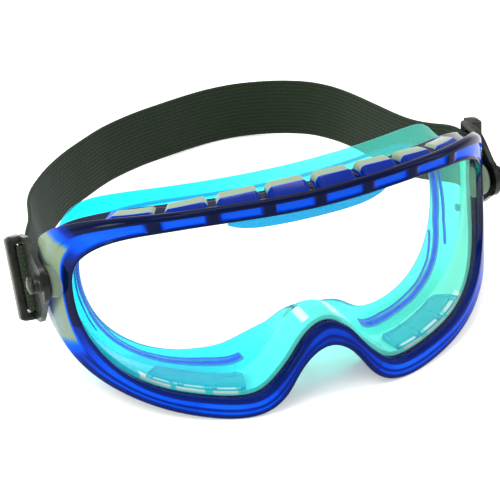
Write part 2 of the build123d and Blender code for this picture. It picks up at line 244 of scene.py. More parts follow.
def mesh_object(name, points, faces, body, attributes=None):
    """Smooth closed mesh from points in metres, with a value per point for each attribute."""
    mesh = bpy.data.meshes.new(name)
    mesh.from_pydata([tuple(p) for p in points], [], faces)
    for key, values in (attributes or {}).items():
        mesh.attributes.new(key, "FLOAT", "POINT").data.foreach_set("value", np.array(values, np.float32))
    obj = bpy.data.objects.new(name, mesh)
    bpy.context.scene.collection.objects.link(obj)
    bm = bmesh.new()
    bm.from_mesh(mesh)
    bmesh.ops.recalc_face_normals(bm, faces=bm.faces)
    bm.to_mesh(mesh)
    bm.free()
    mesh.polygons.foreach_set("use_smooth", [True] * len(mesh.polygons))
    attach(obj, body)
    return obj


def skin(name, rows, body, ring=False, attributes=None):
    """Closed mesh over sections of points: ring joins the last to the first, else the ends are capped."""
    count, size = len(rows), len(rows[0])
    points = [world(*p) for row in rows for p in row]
    faces = []
    for i in range(count if ring else count - 1):
        a, b = i * size, ((i + 1) % count) * size
        for k in range(size):
            m = (k + 1) % size
            faces.append((a + k, a + m, b + m, b + k))
    if not ring:
        faces.append(tuple(range(size)))
        faces.append(tuple(range((count - 1) * size, count * size))[::-1])
    return mesh_object(name, points, faces, body, attributes)


def crease(obj, angle):
    """Sharp shading across edges that turn more than the angle."""
    obj.data.set_sharp_from_angle(angle=math.radians(angle))


def clipped(value):
    """value held between 0 and 1."""
    return min(max(value, 0.0), 1.0)


def lathe(name, profile, place, body, steps):
    """Solid of revolution: profile is (along, radius), place maps (along, a, b) to upright."""
    rows = []
    for along, radius in profile:
        rows.append([place(along, radius * math.cos(2 * math.pi * k / steps),
                           radius * math.sin(2 * math.pi * k / steps)) for k in range(steps)])
    obj = skin(name, rows, body)
    crease(obj, 40)
    return obj


def turned(corners):
    """Rounded lathe profile from (along, radius, rounding) corners, open at both ends."""
    first, last = corners[0], corners[-1]
    loop = rounded([(first[0], -9, 0)] + corners + [(last[0], -9, 0)])
    return [(p.x, max(p.y, 0.02)) for p in loop[1:-1]]


# -------- materials

BLACK, WHITE = (0.0, 0.0, 0.0), (1.0, 1.0, 1.0)


def material(name):
    mat = bpy.data.materials.new(name)
    mat.use_nodes = True
    nodes, links = mat.node_tree.nodes, mat.node_tree.links
    nodes.clear()
    return mat, nodes, links


def noise(nodes, links, scale, detail):
    coord = nodes.new("ShaderNodeTexCoord")
    tex = nodes.new("ShaderNodeTexNoise")
    tex.inputs["Scale"].default_value = scale
    tex.inputs["Detail"].default_value = detail
    links.new(coord.outputs["Object"], tex.inputs["Vector"])
    return tex.outputs["Fac"]


def ramp(nodes, links, value, stops):
    node = nodes.new("ShaderNodeValToRGB")
    elements = node.color_ramp.elements
    while len(elements) < len(stops):
        elements.new(0.5)
    for element, (at, colour) in zip(elements, stops):
        element.position = at
        element.color = (*colour, 1.0)
    links.new(value, node.inputs["Fac"])
    return node.outputs["Color"]


def span(nodes, links, value, low, high, start=0.0, end=1.0):
    """value from start to end, turned into low to high."""
    node = nodes.new("ShaderNodeMapRange")
    node.inputs["From Min"].default_value = start
    node.inputs["From Max"].default_value = end
    node.inputs["To Min"].default_value = low
    node.inputs["To Max"].default_value = high
    links.new(value, node.inputs["Value"])
    return node.outputs["Result"]


def maths(nodes, links, operation, a, b=None):
    """One sum on a socket. b is a number, a socket or nothing."""
    node = nodes.new("ShaderNodeMath")
    node.operation = operation
    links.new(a, node.inputs[0])
    if isinstance(b, float):
        node.inputs[1].default_value = b
    elif b is not None:
        links.new(b, node.inputs[1])
    return node.outputs[0]


def attribute(nodes, name):
    node = nodes.new("ShaderNodeAttribute")
    node.attribute_name = name
    return node.outputs["Fac"]


def mix_colour(nodes, links, factor, a, b, mode="MIX"):
    node = nodes.new("ShaderNodeMix")
    node.data_type = "RGBA"
    node.blend_type = mode
    if isinstance(factor, float):
        node.inputs["Factor"].default_value = factor
    else:
        links.new(factor, node.inputs["Factor"])
    for socket, value in ((node.inputs[6], a), (node.inputs[7], b)):
        if isinstance(value, tuple):
            socket.default_value = (*value, 1.0)
        else:
            links.new(value, socket)
    return node.outputs[2]


def bump(nodes, links, height, strength, distance, normal=None):
    node = nodes.new("ShaderNodeBump")
    node.inputs["Strength"].default_value = strength
    node.inputs["Distance"].default_value = distance
    links.new(height, node.inputs["Height"])
    if normal is not None:
        links.new(normal, node.inputs["Normal"])
    return node.outputs["Normal"]


def tinted_plastic(name, colour, through, clear, roughness, grain=900.0, grain_depth=0.00002,
                   shine=0.15, grazing=0.35):
    """Clear or cloudy coloured plastic. colour is the surface's own colour and through the tint of what
    shows through it, each a colour or a function of (nodes, links). clear is the share let through when
    seen square on, a number or such a function, and grazing scales it down at the edges."""
    mat, nodes, links = material(name)
    out = nodes.new("ShaderNodeOutputMaterial")
    body = nodes.new("ShaderNodeBsdfPrincipled")
    body.inputs["IOR"].default_value = 1.5
    body.inputs["Specular IOR Level"].default_value = shine
    if callable(colour):
        own = colour(nodes, links)
    else:
        patch = span(nodes, links, noise(nodes, links, 55.0, 2.0), 0.0, 0.35)
        own = mix_colour(nodes, links, patch, colour, tuple(c * 0.75 for c in colour))
    links.new(own, body.inputs["Base Color"])
    wear = noise(nodes, links, 260.0, 4.0)
    links.new(span(nodes, links, wear, roughness * 0.7, roughness * 1.6), body.inputs["Roughness"])
    links.new(bump(nodes, links, noise(nodes, links, grain, 2.0), 0.35, grain_depth), body.inputs["Normal"])
    glass = nodes.new("ShaderNodeBsdfTransparent")
    if callable(through):
        links.new(through(nodes, links), glass.inputs["Color"])
    else:
        glass.inputs["Color"].default_value = (*through, 1.0)
    edge = nodes.new("ShaderNodeLayerWeight")
    edge.inputs["Blend"].default_value = 0.35
    share = nodes.new("ShaderNodeMix")
    share.data_type = "FLOAT"
    links.new(edge.outputs["Facing"], share.inputs["Factor"])
    if callable(clear):
        square_on = clear(nodes, links)
        links.new(square_on, share.inputs[2])
        links.new(maths(nodes, links, "MULTIPLY", square_on, grazing), share.inputs[3])
    else:
        share.inputs[2].default_value = clear
        share.inputs[3].default_value = clear * grazing
    mixer = nodes.new("ShaderNodeMixShader")
    links.new(share.outputs[0], mixer.inputs[0])
    links.new(body.outputs[0], mixer.inputs[1])
    links.new(glass.outputs[0], mixer.inputs[2])
    links.new(mixer.outputs[0], out.inputs["Surface"])
    return mat


def hard_plastic(name, base, worn, roughness):
    """Opaque glossy moulding with faint mould grain and rubbed edges."""
    mat, nodes, links = material(name)
    out = nodes.new("ShaderNodeOutputMaterial")
    body = nodes.new("ShaderNodeBsdfPrincipled")
    geometry = nodes.new("ShaderNodeNewGeometry")
    edges = ramp(nodes, links, geometry.outputs["Pointiness"], [(0.49, BLACK), (0.56, WHITE)])
    blotch = ramp(nodes, links, noise(nodes, links, 120.0, 4.0), [(0.4, BLACK), (0.7, WHITE)])
    rubbed = mix_colour(nodes, links, 1.0, edges, blotch, "MULTIPLY")
    links.new(mix_colour(nodes, links, rubbed, base, worn), body.inputs["Base Color"])
    links.new(span(nodes, links, noise(nodes, links, 300.0, 3.0), roughness * 0.7, roughness * 1.5),
              body.inputs["Roughness"])
    links.new(bump(nodes, links, noise(nodes, links, 700.0, 3.0), 0.4, 0.00003), body.inputs["Normal"])
    body.inputs["Specular IOR Level"].default_value = 0.22
    links.new(body.outputs[0], out.inputs["Surface"])
    return mat


def webbing(name, dark, light):
    """Elastic webbing: fine ribs along the length, crossed by picks that are staggered between ribs."""
    mat, nodes, links = material(name)
    out = nodes.new("ShaderNodeOutputMaterial")
    body = nodes.new("ShaderNodeBsdfPrincipled")
    along, across = attribute(nodes, "along"), attribute(nodes, "across")

    def wave(source, per_mm, phase=None):
        """0 to 1 and back, per_mm times in a millimetre."""
        angle = maths(nodes, links, "MULTIPLY", source, 2 * math.pi * per_mm)
        if phase is not None:
            angle = maths(nodes, links, "ADD", angle, phase)
        return span(nodes, links, maths(nodes, links, "SINE", angle), 0.0, 1.0, -1.0)

    stagger = maths(nodes, links, "MULTIPLY", wave(across, 0.31), math.pi)
    weave = maths(nodes, links, "MULTIPLY", wave(across, 0.62), wave(along, 0.8, stagger))
    faded = span(nodes, links, noise(nodes, links, 30.0, 3.0), 0.0, 0.5)
    colour = mix_colour(nodes, links, weave, dark, light)
    colour = mix_colour(nodes, links, faded, colour, tuple(c * 0.6 for c in dark))
    links.new(colour, body.inputs["Base Color"])
    body.inputs["Roughness"].default_value = 0.82
    body.inputs["Specular IOR Level"].default_value = 0.15
    body.inputs["Sheen Weight"].default_value = 0.08
    body.inputs["Sheen Roughness"].default_value = 0.5
    coarse = bump(nodes, links, weave, 0.6, 0.00025)
    fuzz = noise(nodes, links, 1400.0, 2.0)
    links.new(bump(nodes, links, fuzz, 0.35, 0.0001, coarse), body.inputs["Normal"])
    links.new(body.outputs[0], out.inputs["Surface"])
    return mat


NAVY, BRIGHT_BLUE = (0.001, 0.004, 0.030), (0.0, 0.09, 1.0)
PAINTED_HIGHLIGHT = 0.95                                 # glow of the painted highlight, pale grey-green, on louvre tops, the frame's sides and the pivot bosses


def glow_colour(nodes, links):
    """Navy where the glow is 0, bright blue at 0.7 and pale grey-green from there on, a painted highlight."""
    return ramp(nodes, links, attribute(nodes, "glow"),
                [(0.0, NAVY), (0.35, (0.0, 0.020, 0.30)), (0.7, BRIGHT_BLUE), (0.8, (0.02, 0.16, 0.55)),
                 (PAINTED_HIGHLIGHT, (0.25, 0.32, 0.22))])


def glow_tint(nodes, links):
    """What shows through the frame, from nearly nothing to bright blue."""
    return ramp(nodes, links, attribute(nodes, "glow"), [(0.0, (0.0, 0.02, 0.15)), (0.7, (0.0, 0.30, 1.0))])


def glow_clear(nodes, links):
    return span(nodes, links, attribute(nodes, "glow"), 0.06, 0.40)


def across_object(nodes, links):
    """0 at one side of the goggles and 1 at the other."""
    coord = nodes.new("ShaderNodeTexCoord")
    parts = nodes.new("ShaderNodeSeparateXYZ")
    links.new(coord.outputs["Object"], parts.inputs[0])
    return span(nodes, links, parts.outputs[0], 0.0, 1.0, -0.08, 0.08)


def rib_level(nodes, links):
    """The rib attribute, -1 to 1, as 0 to 1: white in a slot, painted light in place of the shaded floor seen
    through it, plain at the middle, blue on a rib.
    """
    return span(nodes, links, attribute(nodes, "rib"), 0.0, 1.0, -1.0)


def lit_slot(nodes, links):
    return ramp(nodes, links, rib_level(nodes, links), [(0.1, WHITE), (0.45, BLACK)])


def seal_colour(nodes, links):
    plain = ramp(nodes, links, across_object(nodes, links),
                 [(0.0, (0.0, 0.62, 0.82)), (0.3, (0.05, 0.80, 0.86)), (0.55, (0.16, 0.90, 0.82)),
                  (0.85, (0.22, 0.93, 0.80))])
    ribbed = mix_colour(nodes, links, attribute(nodes, "rib"), plain, (0.0, 0.08, 0.70))
    # white in the slots and the nose slits: painted light in place of the shaded floor seen through them
    return mix_colour(nodes, links, lit_slot(nodes, links), ribbed, (0.95, 0.97, 0.95))


def seal_tint(nodes, links):
    plain = ramp(nodes, links, across_object(nodes, links),
                 [(0.0, (0.06, 0.88, 0.97)), (0.3, (0.14, 0.94, 0.96)), (0.55, (0.26, 0.99, 0.93)),
                  (0.85, (0.32, 1.0, 0.90))])
    level = rib_level(nodes, links)
    slotted = mix_colour(nodes, links, lit_slot(nodes, links), plain, WHITE)
    on_rib = ramp(nodes, links, level, [(0.52, BLACK), (0.68, WHITE)])
    blue = ramp(nodes, links, level, [(0.55, (0.0, 0.10, 0.45)), (0.8, (0.0, 0.03, 0.28)),
                                      (1.0, (0.0, 0.20, 0.95))])
    return mix_colour(nodes, links, on_rib, slotted, blue)


def seal_clear(nodes, links):
    """Less clear on the ribs, and cloudy on the lining inside the frame."""
    ribs = span(nodes, links, attribute(nodes, "rib"), 0.88, 0.22)
    cloud = span(nodes, links, attribute(nodes, "lining"), 1.0, 0.25)
    return maths(nodes, links, "MULTIPLY", ribs, cloud)


FRAME_BLUE = tinted_plastic("frame_blue", glow_colour, glow_tint, glow_clear, 0.07, shine=0.06)
VENT_BLUE = tinted_plastic("vent_blue", glow_colour, glow_tint, glow_clear, 0.10, shine=0.08)
LOUVRE_BLUE = tinted_plastic("louvre_blue", glow_colour, glow_tint, 0.10, 0.14)
SEAL_CYAN = tinted_plastic("seal_cyan", seal_colour, seal_tint, seal_clear, 0.25, grain=500.0, grazing=0.8)
HOOD_CYAN = tinted_plastic("hood_cyan", (0.02, 0.42, 0.60), (0.40, 0.94, 0.98), 0.80, 0.12, grazing=0.2)
BAFFLE_CYAN = tinted_plastic("baffle_cyan", (0.0, 0.40, 0.75), (0.02, 0.70, 0.95), 0.5, 0.15)
LENS_CLEAR = tinted_plastic("lens_clear", (0.55, 0.62, 0.60), (0.985, 1.0, 0.995), 0.985, 0.02,
                            grain=30.0, grain_depth=0.0, shine=0.3, grazing=0.92)
STUD_BLUE = tinted_plastic("stud_blue", (0.0, 0.2, 0.7), (0.1, 0.5, 0.95), 0.2, 0.15)
CLIP_BLACK = hard_plastic("clip_black", (0.004, 0.005, 0.004), (0.04, 0.045, 0.035), 0.26)
STRAP_WEAVE = webbing("strap_weave", (0.006, 0.012, 0.005), (0.020, 0.034, 0.016))


def dress(obj, mat):
    """Give the piece its one material."""
    obj.data.materials.clear()
    obj.data.materials.append(mat)
    return obj


# -------- frame, lens and seal rings

RING = smooth_loop(APERTURE, RING_STEPS)
RING_NORMAL = outward(RING)
RING_OUT = reach(RING, RING_NORMAL, smooth_loop(OUTLINE, OUTLINE_STEPS), 1)
RING_LEDGE = reach(RING, RING_NORMAL, smooth_loop(LEDGE_OUTLINE, OUTLINE_STEPS), 1)
RING_LEDGE = np.minimum(RING_LEDGE, RING_OUT - 0.1)
SEAL_OUT = reach(RING, RING_NORMAL, smooth_loop(SEAL_OUTER, OUTLINE_STEPS))


NOSE_FLAPS = ((-17.0, 11.0, -4.2), (19.0, 8.0, 2.6))    # middle and spread in X, and lift of each


def sagging(loop):
    """Soft nose flaps, bent down on one side and lifted on the other."""
    bent = loop.copy()
    for centre, width, lift in NOSE_FLAPS:
        bent[:, 1] += lift * np.exp(-((loop[:, 0] - centre) / width) ** 2) * (loop[:, 1] < 10)
    return bent


SEAL_IN = reach(RING, RING_NORMAL, sagging(smooth_loop(SEAL_INNER, OUTLINE_STEPS)))


WINDOW_GLOW, WINDOW_RECESS = 0.72, 0.9


def window(x):
    """1 between the ribs of the top bar and 0 on them."""
    off = abs(((x / RIB_PITCH) + 0.5) % 1.0 - 0.5) * RIB_PITCH
    return 1.0 if abs(x) > WINDOW_END else clipped((off - 2.0) / 0.8)


# Light and dark lines along the lower band, as shares of its width from the opening outwards
BAND_AT, BAND_GLOW = (0.06, 0.16, 0.45, 0.54, 0.62, 0.72, 0.88, 0.97), (0, 1, 1, 0.2, 0.2, 0.9, 0.8, 0)
FACE_STEPS = 12


def frame_glow(p, n):
    """How far a section is in the lit top bar, the lower band and the sides' painted highlight, each 0 to 1.
    """
    x = abs(p[0])
    lit = clipped(n[1] * 1.6 - 0.2) * window(x) * clipped((80 - x) / 4.0) if p[1] > 25 else 0.0
    low = clipped(-n[1] * 1.4) if p[1] < 5 else 0.0
    if x < 22:
        low *= 0.75
    return lit, low, clipped((x - 73) / 4)


def make_frame_ring():
    """Sections round the ring: lip, front, ledge, side wall, back, cavity and the lens groove."""
    rows, glow = [], []
    for p, n, width, ledge in zip(RING, RING_NORMAL, RING_OUT, RING_LEDGE):
        def at(u):
            return p[0] + n[0] * u

        def front(u, depth):
            limit = rear_y(at(u)) - 0.6 if depth else math.inf
            return u, min(front_y(at(u), depth), limit)

        lit, low, side_highlight = frame_glow(p, n)
        x = abs(p[0])
        patch = clipped((47 - x) / 2) * clipped((x - 24) / 2) if p[1] < 0 else 0
        row = rounded([(*front(GROOVE_REACH, LIP_DEPTH), 0), (*front(0, LIP_DEPTH), 0.25),
                       (*front(0, 0), 1.1), (*front(width, 0), 2.2), (*front(width, LEDGE_DEPTH), 1.0),
                       (*front(ledge, LEDGE_DEPTH), 0.6), (ledge, rear_y(at(ledge)), 1.2),
                       (CAVITY_GROW, rear_y(at(CAVITY_GROW)), 0.5),
                       (*front(CAVITY_GROW, LIP_DEPTH + GROOVE_DEPTH), 0),
                       (*front(GROOVE_REACH, LIP_DEPTH + GROOVE_DEPTH), 0)])
        before, sides = 11, 20              # points of the row up to the front face, and on the walls
        first, last = row[before - 1], row[before]
        face, face_glow = [], []
        for k in range(1, FACE_STEPS):
            share = k / FACE_STEPS
            u = first.x + (last.x - first.x) * share
            inset = clipped((share - 0.03) / 0.08) * clipped((0.93 - share) / 0.1)
            face.append(Vector((u, front_y(at(u), WINDOW_RECESS * lit * inset))))
            band = (0.62 + 0.1 * patch) * low * np.interp(share, BAND_AT, BAND_GLOW)
            # painted highlight, pale grey-green, over the outer part of the front face at the sides
            highlight = PAINTED_HIGHLIGHT * side_highlight * clipped((share - 0.42) / 0.12)
            face_glow.append(max(WINDOW_GLOW * lit * inset, band, highlight))
        # the side walls carry the same painted highlight
        glow += [0.12 * low] * before + face_glow + [max(PAINTED_HIGHLIGHT * side_highlight, 0.10 * low)] * sides
        glow += [0.10 * low] * (len(row) - before - sides)
        rows.append([(at(q.x), q.y, p[1] + n[1] * q.x) for q in row[:before] + face + row[before:]])
    obj = skin("frame_ring", rows, "mask", ring=True, attributes={"glow": glow})
    crease(obj, 50)
    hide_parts("frame")
    return dress(obj, FRAME_BLUE)


def make_lens():
    """Curved sheet in upright sections from one side to the other, front and back."""
    loop = smooth_loop(APERTURE, 1600, LENS_OVERLAP)
    upper = loop[loop[:, 1] > 18.0]
    lower = loop[loop[:, 1] <= 18.0]
    upper, lower = upper[np.argsort(upper[:, 0])], lower[np.argsort(lower[:, 0])]
    half = min(upper[-1, 0], lower[-1, 0]) - 0.02
    columns, steps = 150, 44
    front = LIP_DEPTH + LENS_SETBACK
    rows = []
    for i in range(columns + 1):
        x = -half * math.cos(math.pi * i / columns)
        low, high = np.interp(x, lower[:, 0], lower[:, 1]), np.interp(x, upper[:, 0], upper[:, 1])
        heights = [low + (high - low) * (0.5 - 0.5 * math.cos(math.pi * k / steps)) for k in range(steps + 1)]
        rows.append([(x, front_y(x, front), z) for z in heights]
                    + [(x, front_y(x, front + LENS_THICKNESS), z) for z in reversed(heights)])
    obj = skin("lens_sheet", rows, "mask")
    crease(obj, 60)
    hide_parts("lens")
    return dress(obj, LENS_CLEAR)


def rib_at(from_nose, share):
    """1 on a rib of the seal and 0 away from it."""
    best = 0.0
    for half, line in SEAL_RIBS:
        if line[0][0] <= from_nose <= line[-1][0]:
            centre = np.interp(from_nose, [a for a, _ in line], [b for _, b in line])
            best = max(best, min(1.6 - 1.6 * abs(share - centre) / half, 1.0))
    return best


def nose_slit(x, z):
    """1 in the two slits over the nose and 0 away from them."""
    near = min(abs(x - centre) / half for centre, half in NOSE_SLITS)
    return clipped((1.5 - near) / 0.6) if z < 5 else 0.0


LINING, LINING_EDGE = 1.0, 0.72             # how far the lining stands inside the opening and runs under it
LINING_SHARES = (0.0, 0.03, 0.19, 0.23, 0.42, 0.62, 0.82, 1.0)
SKIRT_STEPS, OUTER_STEPS = 44, 8
RIM_LEAST, FLANGE_WIDTH, FLANGE_INSET = 2.6, 4.0, 1.2


def make_seal():
    """Soft collar, in sections round the ring: a lining inside the frame, a skirt that narrows to the
    face, the rim against the face, the skirt's outer side and a flange on the frame's back."""
    rows, rib, lining = [], [], []
    for i, (p, n, ledge, s_out, s_in) in enumerate(zip(RING, RING_NORMAL, RING_LEDGE, SEAL_OUT, SEAL_IN)):
        slit = nose_slit(*p)
        extent = 1.0 - 0.6 * slit

        def at(u):
            return p[0] + n[0] * u

        def place(u, share):
            """share runs from the frame's back to the face."""
            x = at(u)
            return Vector((u, rear_y(x) + (face_y(x) - rear_y(x)) * share * extent))

        s_in = -LINING + (min(s_in, s_out - RIM_LEAST) + LINING) * extent
        s_out = s_in + (s_out - s_in) * (0.25 + 0.75 * extent)
        # under the low vent slots the lining is painted white, painted light in place of the shaded floor
        # seen through them
        slot = -1.0 if p[1] < -8 and any(a <= abs(p[0]) <= b for a, b in LOW_SLOTS) else 0.0
        front = front_y(at(0.0), LIP_DEPTH + GROOVE_DEPTH + 0.25)
        back = rear_y(at(0.0)) + 0.4
        row = [(Vector((LINING_EDGE, front + 0.1)), 0.0)]
        for k, share in enumerate(LINING_SHARES):
            u = -LINING - 0.25 * math.sin(math.pi * share)
            row.append((Vector((u, front + (back - front) * share)), slot if k < 3 else -slit))
        for k in range(1, SKIRT_STEPS + 1):
            share = k / SKIRT_STEPS
            # minus the slit, so the nose slits are painted white in the same way
            tag = rib_at(abs(i / RING_STEPS - 0.5), share) - slit
            u = -LINING + (s_in + LINING) * share ** 1.15 - 0.3 * tag
            row.append((place(u, 0.02 + 0.92 * share), tag))
        row += [(place(s_in + 0.12, 0.975), 0.75), (place(s_in + 0.6, 1.0), 0.4)]
        row += [(place(s_in + (s_out - s_in) * k / 4, 1.0), 0.0) for k in range(1, 4)]
        row += [(place(s_out - 0.6, 1.0), 0.0), (place(s_out - 0.12, 0.965), 0.0)]
        for k in range(OUTER_STEPS + 1):
            u = s_out - 0.5 * math.sin(math.pi * k / OUTER_STEPS)
            row.append((place(u, 0.92 - 0.86 * k / OUTER_STEPS), 0.0))
        flange = max(min(ledge - FLANGE_INSET, s_out + FLANGE_WIDTH), s_out)
        row += [(place(flange, 0.04), 0.0), (place(flange, 0.004), 0.0), (place(LINING_EDGE, 0.004), 0.0)]
        rows.append([(at(q.x), q.y, p[1] + n[1] * q.x) for q, _ in row])
        rib += [tag for _, tag in row]
        lined = 1 + len(LINING_SHARES)
        lining += [1.0] * lined + [0.6, 0.3] + [0.0] * (len(row) - lined - 2)
    obj = skin("seal_ring", rows, "mask", ring=True, attributes={"rib": rib, "lining": lining})
    crease(obj, 60)
    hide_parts("face_seal")
    return dress(obj, SEAL_CYAN)


# -------- vents

def along_front(x, out):
    """(X, Y) of the point that stands out from the front's surface, x off the middle."""
    n = front_normal(x)
    return x + n.x * out, front_y(x) + n.y * out


_top = smooth_loop(LEDGE_OUTLINE, OUTLINE_STEPS)
_top = _top[(_top[:, 1] > 30) & (_top[:, 0] >= 0)]
_top = _top[np.argsort(_top[:, 0])]
TOP_X, TOP_Z = _top[:, 0], _top[:, 1]


def top_height(x):
    """Height of the ledge behind the top bar."""
    return float(np.interp(abs(x), TOP_X, TOP_Z))


def make_vent_cover():
    """Thin cover on the ledge behind the top bar, that thins out at its ends."""
    rows, glow = [], []
    steps = 294
    for i in range(steps + 1):
        x = -COVER_HALF + 2 * COVER_HALF * i / steps
        rise = COVER_RISE * math.sqrt(max(min((COVER_HALF - abs(x)) / 3.0, 1.0), 0.02))
        row = []
        for q in rounded([(-COVER_FRONT, 0.1, 0.05), (-COVER_FRONT, rise, 0.5),
                          (-COVER_REAR, rise, 0.9), (-COVER_REAR, 0.1, 0.05)]):
            px, py = along_front(x, q.x)
            row.append((px, py, top_height(px) + q.y))
            glow.append(WINDOW_GLOW * window(x))
        rows.append(row)
    obj = skin("vent_cover", rows, "mask", attributes={"glow": glow})
    crease(obj, 50)
    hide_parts("top_vent_cover")
    return dress(obj, VENT_BLUE)


def make_louvre(index, centre):
    """Hood that climbs from the bar's front wall to an open mouth, domed and closed at its ends. Its
    section is (out from the front, height, rounding)."""
    rows, glow = [], []
    steps, slope_end, top_end = 36, 7, 13       # the last points of a section's slope and of its top, which is painted pale as a highlight
    for i in range(steps + 1):
        t = i / steps
        x = centre + (t - 0.5) * LOUVRE_LENGTH
        end = min(t, 1 - t) * LOUVRE_LENGTH
        droop = 1.0 - min(1.0, math.sqrt(max(end, 0.0) / 1.6 + 0.02))
        top = LOUVRE_TOP - LOUVRE_DROP * (x / TEMPLE_START) ** 2 - 2.4 * droop
        base = top_height(x) + 0.6
        section = rounded([(-3.4, base - 0.5, 0), (-3.4, max(top - 2.9, base), 0.5), (-7.8, top, 0.9),
                           (-12.4, top, 0.5), (-12.4, top - 1.3, 0.3), (-8.6, top - 1.5, 0.6),
                           (-6.6, base - 0.5, 0)])
        row = []
        for k, q in enumerate(section):
            px, py = along_front(x, q.x)
            row.append((px, py, max(q.y, top_height(px) + 0.1)))
            # the top is painted with the pale highlight colour
            glow.append(0.22 if k <= slope_end else (PAINTED_HIGHLIGHT if k <= top_end else 0.1))
        rows.append(row)
    obj = skin(f"louvre_{index}", rows, "mask", attributes={"glow": glow})
    crease(obj, 50)
    return dress(obj, LOUVRE_BLUE)


def make_baffle():
    """Clear strip that hangs behind the middle of the top bar, with rounded lower corners."""
    rows = []
    steps = 80
    for i in range(steps + 1):
        x = -BAFFLE_HALF + 2 * BAFFLE_HALF * i / steps
        low = BAFFLE_LOW + 2.5 * (abs(x) / BAFFLE_HALF) ** 6
        section = rounded([(-BAFFLE_FRONT, low, 0.4), (-BAFFLE_FRONT, BAFFLE_HIGH, 0.2),
                           (-BAFFLE_REAR, BAFFLE_HIGH, 0.2), (-BAFFLE_REAR, low, 0.4)], 3)
        rows.append([(*along_front(x, q.x), q.y) for q in section])
    obj = skin("brow_baffle", rows, "mask")
    crease(obj, 50)
    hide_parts("vent_baffle")
    return dress(obj, BAFFLE_CYAN)


_low = smooth_loop(APERTURE, 1200, CAVITY_GROW)
_low = _low[(_low[:, 1] < 5) & (_low[:, 0] > 24)]
_low = _low[np.argsort(_low[:, 0])]
FLOOR_X, FLOOR_Z = _low[:, 0], _low[:, 1]


def floor_height(x):
    """Height of the cavity's floor in the lower lobes."""
    return float(np.interp(abs(x), FLOOR_X, FLOOR_Z))


def slotted_shell(name, across, along, surface, hollow, body):
    """Closed sheet over a grid. surface(i, j, side) gives points, hollow(i, j) the cells left out."""
    points, faces = [], []
    rows, columns = len(across), len(along)
    for side in (0, 1):
        for a in across:
            points += [world(*surface(a, b, side)) for b in along]

    def vertex(i, j, side):
        return side * rows * columns + i * columns + j

    def solid(i, j):
        inside = 0 <= i < rows - 1 and 0 <= j < columns - 1
        return inside and not hollow((across[i] + across[i + 1]) / 2, (along[j] + along[j + 1]) / 2)

    for i in range(rows - 1):
        for j in range(columns - 1):
            if not solid(i, j):
                continue
            corners = [(i, j), (i + 1, j), (i + 1, j + 1), (i, j + 1)]
            faces.append([vertex(*c, 0) for c in corners])
            faces.append([vertex(*c, 1) for c in reversed(corners)])
            for (di, dj), (a, b) in zip(((0, -1), (1, 0), (0, 1), (-1, 0)), ((0, 1), (1, 2), (2, 3), (3, 0))):
                if not solid(i + di, j + dj):
                    a, b = corners[a], corners[b]
                    faces.append([vertex(*b, 0), vertex(*a, 0), vertex(*a, 1), vertex(*b, 1)])
    used = sorted({v for face in faces for v in face})
    renumber = {v: k for k, v in enumerate(used)}
    faces = [[renumber[v] for v in face] for face in faces]
    made = mesh_object(name, [points[v] for v in used], faces, body)
    crease(made, 40)
    return made


def make_low_vent(side_name, side):
    """Shallow hood on the floor of one lower lobe, with three slots between cross ribs at its front."""
    edges = [LOW_START, 32.0, 41.6, 42.4, 53.2, 54.0, 63.6, LOW_END] + [x for slot in LOW_SLOTS for x in slot]
    across = sorted(set(edges + [LOW_START + k * 1.1 for k in range(1, 31)]))
    depths = [LOW_FRONT, LOW_SLOT_FRONT, LOW_SLOT_REAR, 8.4, 9.6, 11.0, 13.0, 15.0, 16.4, LOW_REAR]

    def surface(x, depth, face):
        """face is 0 for the underside and 1 for the top."""
        cut = max(0.0, 1.0 - min(x - LOW_START, LOW_END - x) / 3.0) * 2.75
        depth = min(depth, LOW_REAR - cut) if depth > 9 else depth
        px, py = along_front(side * x, -depth)
        ribbed = max(0.0, 1.0 - (min(abs(x - r) for r in LOW_RIBS) / 0.8) ** 2)
        slope = min((depth - LOW_FRONT) / 3.2, 1.0) * min((LOW_REAR - depth) / 0.8 + 0.15, 1.0)
        rise = 2.05 + (0.55 + 1.0 * slope + 0.3 * ribbed if face else 0.0)
        return (px, py, floor_height(px) + rise)

    def hollow(x, depth):
        return any(a < x < b for a, b in LOW_SLOTS) and LOW_SLOT_FRONT < depth < LOW_SLOT_REAR

    obj = slotted_shell(f"low_vent_{side_name}", across, depths, surface, hollow, "mask")
    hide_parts(f"bottom_vent_{side_name}")
    return dress(obj, HOOD_CYAN)


# -------- pivots and clips

# Turned parts as corners of (along X from the middle, radius, rounding)
BOSS = [(80.5, 6.6, 0.3), (84.6, 6.3, 0.8), (85.9, 5.6, 0.7)]
PIN = [(83.3, 1.95, 0.4), (91.8, 1.95, 0.05), (91.8, 3.3, 0.3), (92.8, 3.2, 0.7), (93.5, 1.4, 0.6)]
COLLAR = [(85.95, 4.2, 0.2), (86.2, 4.6, 0.4), (87.0, 4.5, 0.5), (87.3, 3.2, 0.3)]
BARREL = [(88.9, 4.6, 0.2), (89.8, 3.4, 0.5), (91.7, 2.9, 0.4)]
STUD = [(77.2, 1.5, 0.4), (78.2, 1.7, 0.3), (78.25, 0.85, 0.05), (83.1, 0.8, 0.3)]
STUD_PLACE = (54.5, 6.0)                    # (Y, Z)


def turned_part(name, corners, side, centre, body, steps=56):
    """Turned part on one side of the goggles, about an axis across them through centre."""
    return lathe(name, turned(corners), lambda along, a, b: (side * along, centre[0] + a, centre[1] + b),
                 body, steps)


